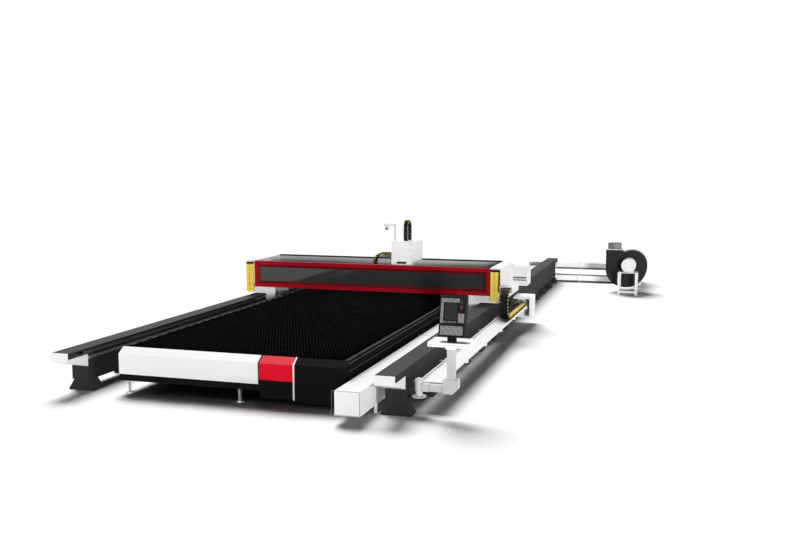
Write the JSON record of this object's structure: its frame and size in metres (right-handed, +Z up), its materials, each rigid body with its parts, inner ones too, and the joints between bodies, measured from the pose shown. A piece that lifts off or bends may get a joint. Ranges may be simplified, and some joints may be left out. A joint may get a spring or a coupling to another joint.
{
  "type": "fiber laser cutting machine",
  "caption": "Long gantry laser cutter: slatted bed between two rails, moving bridge with cutting head, swing-arm console, cable trough and side extraction fan.",
  "frame": {"origin": "centre of the middle bed foot's pad, on the floor, midway between the rails and along them", "axes": "+Z up, +Y along the rails away from the operator's end, +X to the operator's right"},
  "size_m": [8.5393, 17.907, 2.41],
  "materials": {
    "white_paint": "satin powder coat",
    "charcoal_paint": "satin paint",
    "black_paint": "satin paint",
    "red_paint": "gloss paint",
    "crimson_paint": "gloss paint",
    "grey_paint": "satin paint",
    "fan_paint": "satin paint",
    "yellow_paint": "satin paint",
    "guide_steel": "ground steel",
    "foot_steel": "satin paint",
    "slat_steel": "mill steel, heat-darkened",
    "chain_plastic": "moulded",
    "cap_plastic": "moulded",
    "motor_grey": "satin paint",
    "nozzle_copper": "turned",
    "window_glass": "dark laser-blocking sheet",
    "monitor_plastic": "textured",
    "screen_glass": "glossy",
    "panel_grey": "membrane",
    "button_red": "moulded",
    "button_green": "moulded"
  },
  "bodies": {
    "base": {"rail_beams": "charcoal_paint", "rail_end_noses": "white_paint", "rail_covers": "charcoal_paint", "rail_feet": "charcoal_paint", "rail_guides": "guide_steel", "bed_frame": "black_paint", "bed_sides": "black_paint", "bed_front_white_panels": "white_paint", "bed_front_red_panel": "red_paint", "bed_front_black_panels": "black_paint", "bed_rear_cover": "black_paint", "bed_feet": "foot_steel", "slats": "slat_steel", "slat_combs": "black_paint", "slag_trays": "black_paint", "side_duct": "white_paint", "side_duct_feet": "white_paint", "duct_header": "white_paint", "cross_ducts": "white_paint", "duct_flanges": "white_paint", "fan_outlet_collar": "grey_paint", "fan_inlet_box": "white_paint", "fan_housing": "fan_paint", "fan_motor": "white_paint", "fan_stand": "white_paint", "cable_trough": "white_paint", "trough_brackets": "white_paint", "chain_anchor_box": "white_paint", "y_chain_run": "chain_plastic", "console_bracket": "charcoal_paint", "console_column": "white_paint"},
    "gantry": {"gantry_trucks": "white_paint", "runner_blocks": "guide_steel", "drive_motors": "motor_grey", "gantry_beam": "charcoal_paint", "shield_frame": "crimson_paint", "shield_window": "window_glass", "rear_shield": "grey_paint", "end_covers": "white_paint", "light_curtain_posts": "yellow_paint", "light_curtain_caps": "cap_plastic", "drive_cabinet": "white_paint", "y_chain_loop": "chain_plastic", "x_guides": "guide_steel", "x_chain_run": "chain_plastic"},
    "carriage": {"head_saddle": "grey_paint", "head_cover": "white_paint", "x_chain_loop": "chain_plastic", "z_chain": "chain_plastic", "camera_bracket": "white_paint"},
    "cutter": {"cutting_head": "motor_grey", "nozzle": "nozzle_copper"},
    "impeller": {"fan_impeller": "guide_steel"},
    "arm": {"console_arm": "white_paint"},
    "console": {"console_tray": "white_paint", "monitor_housing": "monitor_plastic", "monitor_screen": "screen_glass", "monitor_panels": "panel_grey"},
    "estop": {"estop_button": "button_red"},
    "start": {"start_button": "button_green"}
  },
  "joints": [
    {"name": "gantry_slide", "type": "slide", "parent": "base", "child": "gantry", "axis": [0, 1, 0], "range_m": [-5.4, 1.5], "deforming": ["y_chain_run"]},
    {"name": "head_slide", "type": "slide", "parent": "gantry", "child": "carriage", "axis": [1, 0, 0], "range_m": [-2.35, 0.95], "deforming": ["x_chain_run"]},
    {"name": "z_slide", "type": "slide", "parent": "carriage", "child": "cutter", "axis": [0, 0, 1], "range_m": [-0.05, 0.1]},
    {"name": "fan_spin", "type": "hinge", "parent": "base", "child": "impeller", "pos_m": [5.13, 6.45, 0.82], "axis": [0, 1, 0], "continuous": true},
    {"name": "arm_swing", "type": "hinge", "parent": "base", "child": "arm", "pos_m": [2.978, -8.03, 0.45], "axis": [0, 0, 1], "range_deg": [-90, 10]},
    {"name": "console_swivel", "type": "hinge", "parent": "arm", "child": "console", "pos_m": [3.456, -8.03, 1.02], "axis": [0, 0, 1], "range_deg": [-90, 90]},
    {"name": "estop_press", "type": "slide", "parent": "console", "child": "estop", "axis": [0, 0.9744, -0.225], "range_m": [0, 0.004], "stiffness_N_per_m": 600, "springref_m": -0.001},
    {"name": "start_press", "type": "slide", "parent": "console", "child": "start", "axis": [0, 0.9744, -0.225], "range_m": [0, 0.004], "stiffness_N_per_m": 400, "springref_m": -0.001}
  ]
}
